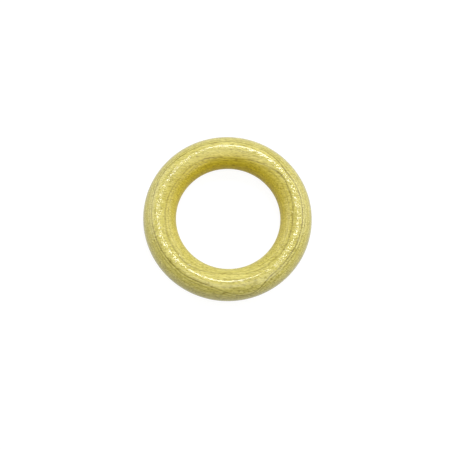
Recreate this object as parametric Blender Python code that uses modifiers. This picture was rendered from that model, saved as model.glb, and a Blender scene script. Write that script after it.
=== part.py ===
"""Juggling ring: one piece of hardwood, rounded over to a full section and lacquered.

The blank is a planed board. Both faces keep a narrow flat land where the round-over of
the rim and the round-over of the bore do not quite meet. The rim is rounded a little
tighter than the bore, so the land runs outside the middle of the wall. The lower land is
what the ring rests on.

Frame: +Z along the ring's axis, X and Y across it. The origin is on the axis, in the
plane of the lower land. Everything is in metres.

Run: blender --background --python part.py, or from Blender's text editor.
"""

import math

import bpy

# Driving dimensions
OUTER_DIAMETER = 0.055
BORE_DIAMETER = 0.034
THICKNESS = 0.0105
LAND_INNER_DIAMETER = 0.0445
LAND_WIDTH = 0.00125  # radial width of the flat on each face

# Worked out from them
OUTER_RADIUS = OUTER_DIAMETER / 2
BORE_RADIUS = BORE_DIAMETER / 2
HALF_THICKNESS = THICKNESS / 2
LAND_INNER_RADIUS = LAND_INNER_DIAMETER / 2
LAND_OUTER_RADIUS = LAND_INNER_RADIUS + LAND_WIDTH

# Smoothness
RING_STEPS = 80  # facets round the ring, a multiple of 4 so that it fills its box
ARC_STEPS = 16  # facets down each side of the section, even so that one point is widest
MERGE_DISTANCE = 0.00001

# Finish: pale hardwood under a clear gloss lacquer
WOOD_COLOUR = (0.66, 0.58, 0.17, 1.0)
LACQUER_ROUGHNESS = 0.3


def remove_everything():
    """Empties the scene, so that the ring is all it holds."""
    for thing in list(bpy.data.objects):
        bpy.data.objects.remove(thing)


def side_arc(widest_radius, land_radius):
    """One side of the section, top to bottom: an arc from land to land by its widest point.

    widest_radius is that point's distance from the ring's axis, at half thickness, and
    land_radius is the distance of the edges of the two lands that the arc ends on.
    """
    reach = abs(widest_radius - land_radius)
    arc_radius = (reach**2 + HALF_THICKNESS**2) / (2 * reach)
    outward = math.copysign(1, widest_radius - land_radius)
    centre = widest_radius - outward * arc_radius
    half_angle = math.atan2(HALF_THICKNESS, outward * (land_radius - centre))
    angles = [half_angle * (1 - 2 * step / ARC_STEPS) for step in range(ARC_STEPS + 1)]
    return [
        (
            centre + outward * arc_radius * math.cos(angle),
            0.0,
            HALF_THICKNESS + arc_radius * math.sin(angle),
        )
        for angle in angles
    ]


def section_points():
    """The closed section at +X: down the rim, in along the lower land, up the bore."""
    rim = side_arc(OUTER_RADIUS, LAND_OUTER_RADIUS)
    bore = side_arc(BORE_RADIUS, LAND_INNER_RADIUS)
    return rim + bore[::-1]


def lacquered_wood():
    """One Principled material for the wood and the clear coat bonded to it."""
    material = bpy.data.materials.new("lacquered_wood")
    material.use_nodes = True
    shader = material.node_tree.nodes["Principled BSDF"]
    shader.inputs["Base Color"].default_value = WOOD_COLOUR
    shader.inputs["Roughness"].default_value = LACQUER_ROUGHNESS
    shader.inputs["Metallic"].default_value = 0.0
    return material


def turned_ring(collection):
    """The ring: its section turned once about Z by a Screw modifier."""
    points = section_points()
    loop = [(i, (i + 1) % len(points)) for i in range(len(points))]
    mesh = bpy.data.meshes.new("wooden_ring")
    mesh.from_pydata(points, loop, [])
    mesh.materials.append(lacquered_wood())

    ring = bpy.data.objects.new("wooden_ring", mesh)
    collection.objects.link(ring)

    turning = ring.modifiers.new("turning", "SCREW")
    turning.axis = "Z"
    turning.angle = 2 * math.pi
    turning.steps = RING_STEPS
    turning.render_steps = RING_STEPS
    turning.use_merge_vertices = True
    turning.merge_threshold = MERGE_DISTANCE
    turning.use_smooth_shade = True
    return ring


def main():
    remove_everything()
    collection = bpy.data.collections.new("juggling_ring")
    bpy.context.scene.collection.children.link(collection)
    turned_ring(collection)


main()
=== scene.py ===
# %% [markdown]
# # A lacquered wooden ring
# The object is one piece of pale hardwood. A blank is cut from a planed board, and its rim
# and bore are rounded over from both faces, which leaves a narrow flat land on each face.
# Then the ring is sanded and dipped in clear lacquer. The CAD frame holds its size. This
# lesson makes what the eye sees: the rounded section, the growth lines of the wood, its
# fibre, and the gloss of the lacquer.

# %% Load the frame
import math

import bmesh
import bpy
from mathutils import Matrix, Vector, noise


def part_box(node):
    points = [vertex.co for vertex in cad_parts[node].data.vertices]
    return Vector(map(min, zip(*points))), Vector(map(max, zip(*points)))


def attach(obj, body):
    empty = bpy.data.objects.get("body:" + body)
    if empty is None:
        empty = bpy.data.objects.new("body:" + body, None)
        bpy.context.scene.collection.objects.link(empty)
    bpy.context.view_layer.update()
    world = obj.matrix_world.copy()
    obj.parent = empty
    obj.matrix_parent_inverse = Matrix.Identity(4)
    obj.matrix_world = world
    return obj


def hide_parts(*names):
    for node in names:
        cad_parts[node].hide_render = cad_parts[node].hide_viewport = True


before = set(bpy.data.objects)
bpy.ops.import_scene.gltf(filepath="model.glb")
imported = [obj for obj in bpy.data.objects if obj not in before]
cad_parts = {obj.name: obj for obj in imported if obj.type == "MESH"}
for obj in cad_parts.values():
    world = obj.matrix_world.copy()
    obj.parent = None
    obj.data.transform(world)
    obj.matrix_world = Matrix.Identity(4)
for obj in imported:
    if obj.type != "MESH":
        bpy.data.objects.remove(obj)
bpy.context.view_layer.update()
MM = 0.001
print("frame nodes:", sorted(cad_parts))

# %% [markdown]
# ## Sizes from the frame
# Each size is read from the CAD ring, so the new surface lies where the CAD ring lies. The
# ring stands on the floor with its axis upright. Its highest points are the two edges of the
# upper land.

# %% Measure the ring
FLAT_TOLERANCE = 0.01 * MM

ring_low, ring_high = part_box("wooden_ring")
cad_points = [v.co.copy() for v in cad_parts["wooden_ring"].data.vertices]
land_radii = [p.xy.length for p in cad_points if p.z > ring_high.z - FLAT_TOLERANCE]
OUTER_RADIUS = ring_high.x
BORE_RADIUS = min(p.xy.length for p in cad_points)
LAND_INNER_RADIUS = min(land_radii)
LAND_OUTER_RADIUS = max(land_radii)
LAND_MIDDLE_RADIUS = (LAND_INNER_RADIUS + LAND_OUTER_RADIUS) / 2
HEIGHT = ring_high.z - ring_low.z
HALF_HEIGHT = HEIGHT / 2
RING_CENTRE = Vector((0, 0, ring_low.z + HALF_HEIGHT))
measured = (OUTER_RADIUS, BORE_RADIUS, LAND_INNER_RADIUS, LAND_OUTER_RADIUS, HEIGHT)
print("rim, bore, land edges and height in mm:", [round(size / MM, 2) for size in measured])

# %% [markdown]
# ## The camera
# The ring is seen from almost straight above, tipped a little towards the front, so that the
# far wall of the bore shows. A long lens keeps both walls about the same width. The camera is
# rolled by a few degrees, so the front of the ring is turned a little to one side in view.

# %% Place the camera
CAMERA_ELEVATION = math.radians(75.4)
CAMERA_ROLL = math.radians(4.5)
LENS_MM = 200
SENSOR_MM = 36
FRAME_HEIGHT = 146.7 * MM
AIM_RIGHT = -0.98 * MM
AIM_UP = -2.1 * MM
CLIP_FACTOR = 100

camera_data = bpy.data.cameras.new("camera")
camera_data.lens = LENS_MM
camera_data.sensor_width = SENSOR_MM
camera = bpy.data.objects.new("camera", camera_data)
bpy.context.scene.collection.objects.link(camera)
bpy.context.scene.camera = camera

towards_camera = Vector((0, -math.cos(CAMERA_ELEVATION), math.sin(CAMERA_ELEVATION)))
turn = (-towards_camera).to_track_quat("-Z", "Y").to_matrix().to_4x4()
turn = turn @ Matrix.Rotation(CAMERA_ROLL, 4, "Z")
camera_distance = FRAME_HEIGHT * LENS_MM / SENSOR_MM
aim = RING_CENTRE + turn @ Vector((AIM_RIGHT, AIM_UP, 0))
camera.matrix_world = Matrix.Translation(aim + towards_camera * camera_distance) @ turn
camera_data.clip_start = camera_distance / CLIP_FACTOR
camera_data.clip_end = camera_distance * CLIP_FACTOR
print("camera distance in mm:", round(camera_distance / MM))

# %% [markdown]
# ## The section of the ring
# The rim and the bore are turned to a round shape. Cut through, each side is one arc, and the
# two arcs are joined by the flat lands. The rim's arc meets the land at a slight angle. On the
# bore the last of the arc was sanded to a short slope, so it meets the land at an angle too.
# These two edges are what catches the light.

# %% Outline of the section
ARC_POINTS = 200
SANDED_SLOPE = math.radians(14)


def arc_side(centre, outward, radius, end_angle):
    """Points of an arc that faces the rim (outward 1) or the bore (outward -1), from low to high."""
    points = []
    for i in range(ARC_POINTS + 1):
        angle = end_angle * (2 * i / ARC_POINTS - 1)
        across = centre + outward * radius * math.cos(angle)
        points.append(Vector((across, HALF_HEIGHT + radius * math.sin(angle))))
    return points


rim_reach = OUTER_RADIUS - LAND_OUTER_RADIUS
rim_arc_radius = (rim_reach**2 + HALF_HEIGHT**2) / (2 * rim_reach)
rim_centre = OUTER_RADIUS - rim_arc_radius
rim_end_angle = math.atan2(HALF_HEIGHT, LAND_OUTER_RADIUS - rim_centre)
rim_side = arc_side(rim_centre, 1, rim_arc_radius, rim_end_angle)

bore_reach = LAND_INNER_RADIUS - BORE_RADIUS
slope_sine = math.sin(SANDED_SLOPE)
slope_cosine = math.cos(SANDED_SLOPE)
bore_arc_radius = (HALF_HEIGHT * slope_cosine - bore_reach * slope_sine) / (1 - slope_sine)
bore_side = arc_side(BORE_RADIUS + bore_arc_radius, -1, bore_arc_radius, math.pi / 2 - SANDED_SLOPE)
lower_edge = Vector((LAND_INNER_RADIUS, 0))
upper_edge = Vector((LAND_INNER_RADIUS, HEIGHT))

outline = rim_side + [upper_edge] + bore_side[::-1] + [lower_edge] + rim_side[:1]
print("arc radii of rim and bore in mm:", round(rim_arc_radius / MM, 2), round(bore_arc_radius / MM, 2))

# %% [markdown]
# The points of the outline are not evenly spaced. along_section finds the place that lies a
# given fraction of the way round it, so that an even row of points can be laid on it, wherever
# the arcs and the lands begin.

# %% Walk along the outline
distances = [0]
for here, there in zip(outline, outline[1:]):
    distances.append(distances[-1] + (there - here).length)
print("way round the section in mm:", round(distances[-1] / MM, 2))


def along_section(fraction):
    """The point of the section that lies a fraction of the way round it."""
    target = fraction * distances[-1]
    i = next(k for k in range(1, len(distances)) if distances[k] >= target)
    share = (target - distances[i - 1]) / (distances[i] - distances[i - 1])
    return outline[i - 1].lerp(outline[i], share)


# %% [markdown]
# ## Turn the section round the axis
# A ring is a section turned round an axis, so bmesh.ops.spin is the tool for it. Its time
# grows fast with the number of steps, so it turns only a quarter of the ring. The quarter is
# then copied and turned three times, and the seams are closed by merging their doubles. The
# faces are small, because the growth lines are cut into them later. Before the spin a few
# passes of smooth_vert do what sandpaper does: they round the edges of the lands a little.

# %% Spin a quarter and copy it
SECTION_STEPS = 232
QUARTER_STEPS = 106
SANDING_PASSES = 4
SANDING_STRENGTH = 0.5
MERGE_DISTANCE = 0.01 * MM
QUARTERS = 4
QUARTER_ANGLE = 2 * math.pi / QUARTERS

ring_bm = bmesh.new()
section = bmesh.ops.create_circle(ring_bm, cap_ends=False, segments=SECTION_STEPS, radius=HALF_HEIGHT)
for i, vert in enumerate(section["verts"]):
    place = along_section(i / SECTION_STEPS)
    vert.co = (place.x, 0, ring_low.z + place.y)
for _ in range(SANDING_PASSES):
    bmesh.ops.smooth_vert(
        ring_bm,
        verts=section["verts"],
        factor=SANDING_STRENGTH,
        use_axis_x=True,
        use_axis_y=True,
        use_axis_z=True,
    )
bmesh.ops.spin(
    ring_bm,
    geom=section["verts"] + list(ring_bm.edges),
    cent=(0, 0, 0),
    axis=(0, 0, 1),
    dvec=(0, 0, 0),
    angle=QUARTER_ANGLE,
    steps=QUARTER_STEPS,
    use_merge=False,
    use_duplicate=False,
)
quarter = list(ring_bm.verts) + list(ring_bm.edges) + list(ring_bm.faces)
for k in range(1, QUARTERS):
    copied = bmesh.ops.duplicate(ring_bm, geom=quarter)["geom"]
    copied_verts = [part for part in copied if isinstance(part, bmesh.types.BMVert)]
    about_axis = Matrix.Rotation(k * QUARTER_ANGLE, 3, "Z")
    bmesh.ops.rotate(ring_bm, cent=(0, 0, 0), matrix=about_axis, verts=copied_verts)
bmesh.ops.remove_doubles(ring_bm, verts=ring_bm.verts, dist=MERGE_DISTANCE)
bmesh.ops.recalc_face_normals(ring_bm, faces=ring_bm.faces)
open_edges = sum(1 for edge in ring_bm.edges if len(edge.link_faces) != 2)
print("ring:", len(ring_bm.verts), "points,", len(ring_bm.faces), "faces,", open_edges, "open edges")

# %% [markdown]
# ## Growth layers
# The blank was cut along the grain, so the growth layers of the tree lie almost flat in the
# ring. Where the turned surface cuts through a layer, a thin dark line shows: long curves
# that follow the crown, and slanted ones where the layers dip. Here the wood is described
# before it is coloured. layer_rise says how far the layers lie above level at a place, and
# the height of a point above them is its place in the tree's growth.

# %% How the layers lie
# Each swell is a place where the layers bulge or dip, all in mm: x, y, rise, reach x, reach y.
SWELLS = (
    (0, 18, -0.7, 5, 3),
    (0, -18.5, -0.6, 6, 3),
    (14, -31, -6.5, 11, 6.5),
    (15, 11, 0.4, 6, 6),
    (-26, 14, -0.4, 8, 8),
)
# Each wave is told by its height, its reach along x and y, and its own place in the noise.
WAVES = (
    (0.12, 14, 6, 3.1),
    (0.03, 5, 1.6, 8.7),
)
TILT_ALONG_X = 0.004
TILT_ALONG_Y = -0.006


def layer_rise(x, y):
    """How far the growth layers lie above level at a place, all in mm."""
    rise = TILT_ALONG_X * x + TILT_ALONG_Y * y
    for centre_x, centre_y, swell, reach_x, reach_y in SWELLS:
        falloff = ((x - centre_x) / reach_x) ** 2 + ((y - centre_y) / reach_y) ** 2
        rise += swell * math.exp(-falloff)
    for height, reach_x, reach_y, noise_place in WAVES:
        rise += height * noise.noise(Vector((x / reach_x, y / reach_y, noise_place)))
    return rise


print("swells and waves of the layers:", len(SWELLS), "and", len(WAVES))

# %% [markdown]
# A year ends in a thin layer of dark late wood, and the next one starts pale again at a sharp
# edge. So a year is told by the height in mm where it ends and by how dark it ends, from 0
# to 1. The years are uneven, as they are in a tree, and the darkest of them ends just under
# the crown, where the cut shows it as two long lines.

# %% Ends of the years
YEAR_ENDS = (
    (1.6, 0.5), (3.4, 0.45), (5.0, 0.6), (6.5, 0.45), (7.8, 0.6),
    (8.9, 0.5), (9.7, 0.65), (10.15, 1.0), (10.95, 0.35), (11.6, 0.3),
)
LATE_WOOD_MM = 0.17
SHARP_EDGE_MM = 0.06


def late_wood(height):
    """How dark and dense the wood is at a height in the growth layers, from 0 to 1."""
    darkest = 0
    for year_end, darkness in YEAR_ENDS:
        thickness = LATE_WOOD_MM if height < year_end else SHARP_EDGE_MM
        darkest = max(darkest, darkness * (1 - abs(height - year_end) / thickness))
    return darkest


print("years in the ring:", len(YEAR_ENDS))

# %% [markdown]
# ## Shape the wood
# Each dark line is also a shallow groove, so it catches the light a little differently from
# the wood beside it. The bore is a little out of centre. Each point keeps its height in the
# growth layers as an attribute called growth, which the colour of the wood reads later.

# %% Grooves and bore
GROOVE_DEPTH = 0.03 * MM
BORE_OFFSET = 0.22 * MM


def smooth_step(value):
    """A smooth rise from 0 to 1 as the value goes from 0 to 1."""
    value = min(1, max(0, value))
    return value * value * (3 - 2 * value)


growth = ring_bm.verts.layers.float.new("growth")
for vert in ring_bm.verts:
    x, y, z = vert.co
    vert[growth] = (z - ring_low.z) / MM - layer_rise(x / MM, y / MM)
ring_bm.normal_update()
deepest_cut = 0
for vert in ring_bm.verts:
    radius = vert.co.xy.length
    outward = Vector((vert.co.x, vert.co.y, 0)) / radius
    cut = GROOVE_DEPTH * late_wood(vert[growth])
    deepest_cut = max(deepest_cut, cut)
    bore_share = smooth_step((LAND_MIDDLE_RADIUS - radius) / (LAND_MIDDLE_RADIUS - BORE_RADIUS))
    vert.co -= vert.normal * cut
    vert.co += outward * outward.x * BORE_OFFSET * bore_share

ring_mesh = bpy.data.meshes.new("lacquered_ring")
ring_bm.to_mesh(ring_mesh)
ring_bm.free()
ring_mesh.shade_smooth()
ring = bpy.data.objects.new("lacquered_ring", ring_mesh)
bpy.context.scene.collection.objects.link(ring)
print("deepest groove in mm:", round(deepest_cut / MM, 3))


# %% [markdown]
# ## Helpers for the wood
# Colours are given as the sRGB hex codes that a paint card uses, and Blender computes in
# linear light, so hex_colour turns one into the other. add_node adds any node with its
# settings. Each of its inputs is given a value, or the output that it is linked to.

# %% Colour and node helpers
def hex_colour(code):
    """A linear RGBA colour from an sRGB hex code."""
    parts = [int(code[i : i + 2], 16) / 255 for i in (1, 3, 5)]
    linear = [p / 12.92 if p <= 0.04045 else ((p + 0.055) / 1.055) ** 2.4 for p in parts]
    return (*linear, 1.0)


def add_node(tree, kind, settings=None, inputs=None):
    """Adds a node with its settings, and gives each input a value or a link."""
    node = tree.nodes.new(kind)
    for name, setting in (settings or {}).items():
        setattr(node, name, setting)
    for name, given in (inputs or {}).items():
        if isinstance(given, bpy.types.NodeSocket):
            tree.links.new(given, node.inputs[name])
        else:
            node.inputs[name].default_value = given
    return node


print("the middle grey #808080 in linear light:", round(hex_colour("#808080")[0], 3))

# %% [markdown]
# ## Lacquered wood
# The wood is a pale yellow hardwood with fine pores, such as lotus or schima wood. It was
# turned, sanded along and across its fibres, and dipped in clear lacquer. Under the lacquer
# its colour turns warmer, and its fibre still shows through the gloss as a fine relief. So
# the Principled shader's base is the wood, rather dull, and its coat is the lacquer, smooth
# and glossy.

# %% Start the wood
WOOD_ROUGHNESS = 0.45
WOOD_SPECULAR = 0.25
LACQUER_ROUGHNESS = 0.07
LACQUER_IOR = 1.4  # a little below the 1.5 of most lacquers, for a weaker reflection

wood = bpy.data.materials.new("lacquered_pale_hardwood")
wood.use_nodes = True
tree = wood.node_tree
shader = tree.nodes["Principled BSDF"]
shader.inputs["Roughness"].default_value = WOOD_ROUGHNESS
shader.inputs["Specular IOR Level"].default_value = WOOD_SPECULAR
shader.inputs["Coat Roughness"].default_value = LACQUER_ROUGHNESS
shader.inputs["Coat IOR"].default_value = LACQUER_IOR
position = add_node(tree, "ShaderNodeTexCoord").outputs["Object"]
print("material:", wood.name)

# %% [markdown]
# The fibres run along X, so every fibre pattern is a noise that is stretched along X. Real
# fibres are some hundredths of a millimetre wide. They are drawn about ten times coarser
# here, or they would be too fine to show at the size of the picture.

# %% Fibre patterns
# Each pattern is told by its length along the fibres in mm, its width in mm and its detail.
PATTERNS = {
    "streaks": (5.0, 0.55, 2.0),  # broad bands of lighter and deeper wood
    "fibres": (1.6, 0.3, 1.0),  # coarser than the real 0.03 mm fibres
    "pores": (1.0, 0.3, 0.0),  # coarser than the real 0.1 mm pores
    "ridges": (3.0, 0.45, 0.0),  # low ridges along the fibres, coarser than the real ones
    "fibre_ends": (0.78, 0.62, 0.0),  # torn ends of fibres, coarser than the real ones
    "fading": (10.0, 3.5, 1.0),  # where a year's dark line grows fainter
}
PATTERN_ROUGHNESS = 0.55

patterns = {}
for name, (length, width, detail) in PATTERNS.items():
    repeats = (1 / (length * MM), 1 / (width * MM), 1 / (width * MM))
    stretched = add_node(tree, "ShaderNodeMapping", inputs={"Vector": position, "Scale": repeats})
    noise_inputs = {
        "Vector": stretched.outputs["Vector"],
        "Scale": 1.0,
        "Detail": detail,
        "Roughness": PATTERN_ROUGHNESS,
    }
    patterns[name] = add_node(tree, "ShaderNodeTexNoise", inputs=noise_inputs).outputs["Fac"]
print("patterns:", ", ".join(patterns))

# %% [markdown]
# ## Colour of the wood
# The early wood is light. Deeper streaks, darker fibres and fine pores are laid over it one
# after the other, each with a Mix node. A Mix node has sockets for numbers, for vectors and
# for colours, so its colour sockets are picked by number.

# %% Early wood, fibres and pores
EARLY_PALE = hex_colour("#d6cd78")
EARLY_DEEP = hex_colour("#bcb254")
FIBRE_DARK = hex_colour("#9d913a")
PORE = hex_colour("#7a6a24")
# Each layer is told by its pattern, the levels where it starts and is full, its share and colour.
LAYERS = (
    ("streaks", 0.3, 0.7, 1.0, EARLY_DEEP),
    ("fibres", 0.35, 0.75, 0.6, FIBRE_DARK),
    ("pores", 0.56, 0.7, 0.5, PORE),
)
MIX_FACTOR = 0
MIX_FIRST = 6
MIX_SECOND = 7
MIX_RESULT = 2

colour = EARLY_PALE
for name, start, full, share, layer_colour in LAYERS:
    amount = add_node(
        tree,
        "ShaderNodeMapRange",
        inputs={"Value": patterns[name], "From Min": start, "From Max": full, "To Max": share},
    )
    layer = add_node(
        tree,
        "ShaderNodeMix",
        {"data_type": "RGBA"},
        {MIX_FACTOR: amount.outputs["Result"], MIX_FIRST: colour, MIX_SECOND: layer_colour},
    )
    colour = layer.outputs[MIX_RESULT]
print("layers over the early wood:", len(LAYERS))

# %% [markdown]
# ## Late wood
# The year ends are laid as stops on one ramp over the growth attribute. The ramp rises to the
# darkest late wood over its thickness and drops at the sharp edge of the next year. A ramp
# holds at most 32 stops. Each year takes three and the two ends one each, so ten years fit.

# %% Ramp of the years
GROWTH_RANGE = 13.0
BLACK = hex_colour("#000000")

growth_height = add_node(tree, "ShaderNodeAttribute", {"attribute_name": "growth"}).outputs["Fac"]
along_ramp = add_node(
    tree, "ShaderNodeMapRange", inputs={"Value": growth_height, "From Max": GROWTH_RANGE}
)
year_ramp = add_node(tree, "ShaderNodeValToRGB", inputs={"Fac": along_ramp.outputs["Result"]})
stops = year_ramp.color_ramp.elements
stops[0].position = 0
stops[0].color = BLACK
stops[1].position = 1
stops[1].color = BLACK
for year_end, darkness in YEAR_ENDS:
    for offset, level in ((-LATE_WOOD_MM, 0), (0, darkness), (SHARP_EDGE_MM, 0)):
        stop = stops.new((year_end + offset) / GROWTH_RANGE)
        stop.color = (level, level, level, 1)
print("year ends:", len(YEAR_ENDS), "on", len(stops), "stops")

# %% [markdown]
# No line is equally dark all along. A slow noise fades it here and there, and towards the
# bore the lines are fainter, as if under a thicker film of lacquer. How far a point is from
# the axis is the length of its position once its height is scaled away.

# %% Faded lines
LATE_WOOD = hex_colour("#64571c")
FADING_START = 0.35
FADING_END = 0.6
FAINTEST_LINE = 0.6
FAINT_RADIUS = 20.8 * MM
FULL_RADIUS = 23.2 * MM
FAINT_SHARE = 0.6

fading = add_node(
    tree,
    "ShaderNodeMapRange",
    inputs={
        "Value": patterns["fading"],
        "From Min": FADING_START,
        "From Max": FADING_END,
        "To Min": FAINTEST_LINE,
    },
)
flattened = add_node(tree, "ShaderNodeMapping", inputs={"Vector": position, "Scale": (1, 1, 0)})
from_axis = add_node(
    tree, "ShaderNodeVectorMath", {"operation": "LENGTH"}, {"Vector": flattened.outputs["Vector"]}
).outputs["Value"]
towards_rim = add_node(
    tree,
    "ShaderNodeMapRange",
    inputs={
        "Value": from_axis,
        "From Min": FAINT_RADIUS,
        "From Max": FULL_RADIUS,
        "To Min": FAINT_SHARE,
    },
)
broken = add_node(
    tree,
    "ShaderNodeMath",
    {"operation": "MULTIPLY"},
    {0: fading.outputs["Result"], 1: towards_rim.outputs["Result"]},
)
late = add_node(
    tree,
    "ShaderNodeMath",
    {"operation": "MULTIPLY"},
    {0: year_ramp.outputs["Color"], 1: broken.outputs["Value"]},
)
with_years = add_node(
    tree,
    "ShaderNodeMix",
    {"data_type": "RGBA"},
    {MIX_FACTOR: late.outputs["Value"], MIX_FIRST: colour, MIX_SECOND: LATE_WOOD},
).outputs[MIX_RESULT]
print("lines fade between radii in mm:", round(FULL_RADIUS / MM, 1), round(FAINT_RADIUS / MM, 1))

# %% [markdown]
# ## The bore
# The wall of the bore has less gloss than the rim. At its far side the wood is painted a deeper
# amber: painted shade, tinted like light that bounces across the bore from the yellow wood of
# the near wall. How far a point is into the bore follows from its distance from the axis.

# %% Painted amber shade and dull coat in the bore
BORE_FADE_START = 22.6 * MM
BORE_FADE_END = 17.3 * MM
# painted shade: this amber multiplies the wood's colour on the far wall of the bore
PAINTED_SHADE_AMBER = hex_colour("#f8e700")
RIM_COAT = 1.0
BORE_COAT = 0.05

in_bore = add_node(
    tree,
    "ShaderNodeMapRange",
    inputs={"Value": from_axis, "From Min": BORE_FADE_START, "From Max": BORE_FADE_END},
)
split = add_node(tree, "ShaderNodeSeparateXYZ", inputs={"Vector": position})
to_far_side = add_node(
    tree,
    "ShaderNodeMapRange",
    inputs={"Value": split.outputs["Y"], "From Min": -BORE_RADIUS, "From Max": BORE_RADIUS},
)
# the painted shade is strongest deep in the bore and towards its far side
painted_shade_share = add_node(
    tree,
    "ShaderNodeMath",
    {"operation": "MULTIPLY"},
    {0: in_bore.outputs["Result"], 1: to_far_side.outputs["Result"]},
)
wood_with_painted_shade = add_node(
    tree,
    "ShaderNodeMix",
    {"data_type": "RGBA", "blend_type": "MULTIPLY"},
    {MIX_FACTOR: painted_shade_share.outputs["Value"], MIX_FIRST: with_years, MIX_SECOND: PAINTED_SHADE_AMBER},
)
gloss = add_node(
    tree,
    "ShaderNodeMapRange",
    inputs={"Value": in_bore.outputs["Result"], "To Min": RIM_COAT, "To Max": BORE_COAT},
)
tree.links.new(wood_with_painted_shade.outputs[MIX_RESULT], shader.inputs["Base Color"])
tree.links.new(gloss.outputs["Result"], shader.inputs["Coat Weight"])
print("amber starts at a radius in mm:", round(BORE_FADE_START / MM, 1))

# %% [markdown]
# ## Relief of the fibre
# Under the lacquer the fibres leave low ridges along X, and they split the highlight into
# fine lines. Towards the left and the right of the ring the cut runs across the fibres. Their
# torn ends leave a coarser relief there, and the highlight breaks up into bright dots. The
# lacquer has a bump of its own, because it follows only the coarser part of the relief and
# fills the finest.

# %% Bumps of wood and lacquer
FIBRE_RELIEF = 0.05 * MM
RIDGE_HEIGHT = 0.02 * MM
FIBRE_END_HEIGHT = 0.16 * MM
ENDS_START = 8 * MM
ENDS_FULL = 22 * MM
FEWEST_ENDS = 0.07

across_fibres = add_node(tree, "ShaderNodeMath", {"operation": "ABSOLUTE"}, {0: split.outputs["X"]})
end_share = add_node(
    tree,
    "ShaderNodeMapRange",
    inputs={
        "Value": across_fibres.outputs["Value"],
        "From Min": ENDS_START,
        "From Max": ENDS_FULL,
        "To Min": FEWEST_ENDS,
    },
)
wood_bump = add_node(
    tree, "ShaderNodeBump", inputs={"Distance": FIBRE_RELIEF, "Height": patterns["fibres"]}
)
ridge_bump = add_node(
    tree, "ShaderNodeBump", inputs={"Distance": RIDGE_HEIGHT, "Height": patterns["ridges"]}
)
lacquer_bump = add_node(
    tree,
    "ShaderNodeBump",
    inputs={
        "Distance": FIBRE_END_HEIGHT,
        "Height": patterns["fibre_ends"],
        "Strength": end_share.outputs["Result"],
        "Normal": ridge_bump.outputs["Normal"],
    },
)
tree.links.new(wood_bump.outputs["Normal"], shader.inputs["Normal"])
tree.links.new(lacquer_bump.outputs["Normal"], shader.inputs["Coat Normal"])
ring_mesh.materials.append(wood)
print("nodes in the wood:", len(tree.nodes))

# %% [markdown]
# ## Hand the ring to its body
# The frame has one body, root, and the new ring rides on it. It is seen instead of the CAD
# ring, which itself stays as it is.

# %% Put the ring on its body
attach(ring, "root")
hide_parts("wooden_ring")
print("the lacquered ring rides on root")

# %% [markdown]
# ## The table
# The ring lies on a product table: a large sheet of white acrylic that is lit from below. That
# light takes away the ring's shadow and makes the sheet white, although its own colour is set
# darker than white. To the camera the sheet glows in full. To the ring it glows less, or the
# lower rim would look as if it were lit from below.

# %% Lay the table
TABLE_SIZE = 4.0
TABLE_GLOW = 0.9
GLOW_ON_RING = 0.62
TABLE_ROUGHNESS = 0.9
TABLE_SPECULAR = 0.0
ACRYLIC_GREY = hex_colour("#6a6a6a")
WHITE = hex_colour("#ffffff")

table_bm = bmesh.new()
bmesh.ops.create_grid(table_bm, x_segments=1, y_segments=1, size=TABLE_SIZE / 2)
bmesh.ops.translate(table_bm, vec=(0, 0, ring_low.z), verts=table_bm.verts)
table_mesh = bpy.data.meshes.new("studio_floor")
table_bm.to_mesh(table_mesh)
table_bm.free()
table = bpy.data.objects.new("studio_floor", table_mesh)
bpy.context.scene.collection.objects.link(table)
acrylic = bpy.data.materials.new("matt_white_acrylic")
acrylic.use_nodes = True
acrylic_shader = acrylic.node_tree.nodes["Principled BSDF"]
acrylic_shader.inputs["Base Color"].default_value = ACRYLIC_GREY
acrylic_shader.inputs["Roughness"].default_value = TABLE_ROUGHNESS
acrylic_shader.inputs["Specular IOR Level"].default_value = TABLE_SPECULAR
acrylic_shader.inputs["Emission Color"].default_value = WHITE
table_ray = add_node(acrylic.node_tree, "ShaderNodeLightPath")
glow = add_node(
    acrylic.node_tree,
    "ShaderNodeMapRange",
    inputs={"Value": table_ray.outputs["Is Camera Ray"], "To Min": GLOW_ON_RING, "To Max": TABLE_GLOW},
)
acrylic.node_tree.links.new(glow.outputs["Result"], acrylic_shader.inputs["Emission Strength"])
table_mesh.materials.append(acrylic)
print("side of the table in m:", TABLE_SIZE)

# %% [markdown]
# ## Studio light
# The small main softbox stands above and behind the ring, and it draws the bright lines along
# the edges of the lands. Wide, weak ones low at the sides and the back fill the rim. Another
# wide one stands almost overhead, and a smaller one at the front right. None stands low in
# front, so the front of the rim stays darker and the ring looks round. A softbox is placed by
# its tilt from straight up and by its bearing, where 0 is to the right and 90 is behind.

# %% Place the softboxes
SOFTBOX_DISTANCE = 1.0
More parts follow.
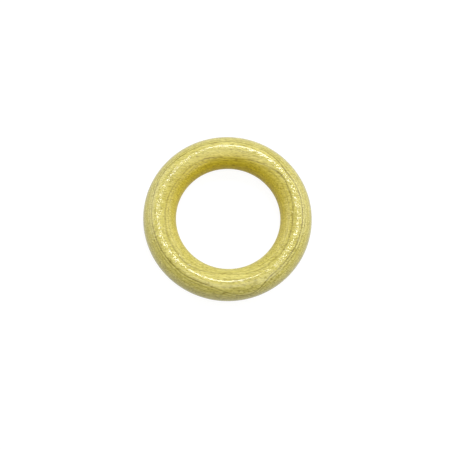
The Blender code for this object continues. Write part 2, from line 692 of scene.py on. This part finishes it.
# Each softbox is told by its name, its tilt, bearing and half angle in degrees, and how bright.
SOFTBOXES = (
    ("main_softbox", 27, 84, 8, 19.5),
    ("right_softbox", 62, 28, 26, 2.6),
    ("front_right_softbox", 50, 322, 14, 2.8),
    ("left_softbox", 64, 158, 26, 2.5),
    ("back_softbox", 68, 90, 24, 0.9),
    ("top_softbox", 16, 280, 22, 2.45),
)

for name, tilt_degrees, bearing_degrees, half_angle, brightness in SOFTBOXES:
    tilt = math.radians(tilt_degrees)
    bearing = math.radians(bearing_degrees)
    direction = Vector(
        (math.sin(tilt) * math.cos(bearing), math.sin(tilt) * math.sin(bearing), math.cos(tilt))
    )
    light = bpy.data.lights.new(name, "AREA")
    light.shape = "DISK"
    radius = SOFTBOX_DISTANCE * math.tan(math.radians(half_angle))
    light.size = 2 * radius
    area = math.pi * radius**2
    light.energy = brightness * math.pi * area  # so a wider one looks no brighter or darker
    lamp = bpy.data.objects.new(name, light)
    bpy.context.scene.collection.objects.link(lamp)
    to_lamp = direction.to_track_quat("Z", "Y").to_matrix().to_4x4()
    lamp.matrix_world = Matrix.Translation(RING_CENTRE + direction * SOFTBOX_DISTANCE) @ to_lamp
    print(name, "of", round(2 * radius, 2), "m")

# %% [markdown]
# The room itself gives little light. What the eye sees behind the table is a pale backdrop,
# so rays that go straight from the camera to the world find it bright.

# %% Room light and view
ROOM_LIGHT = 0.08
BACKDROP_LIGHT = 0.85

room = bpy.data.worlds.new("pale_room")
room.use_nodes = True
ray = add_node(room.node_tree, "ShaderNodeLightPath")
seen = add_node(
    room.node_tree,
    "ShaderNodeMapRange",
    inputs={"Value": ray.outputs["Is Camera Ray"], "To Min": ROOM_LIGHT, "To Max": BACKDROP_LIGHT},
)
background = room.node_tree.nodes["Background"]
background.inputs["Color"].default_value = WHITE
room.node_tree.links.new(seen.outputs["Result"], background.inputs["Strength"])
bpy.context.scene.world = room
bpy.context.scene.view_settings.view_transform = "Standard"
print("room light", ROOM_LIGHT, "and backdrop", BACKDROP_LIGHT)
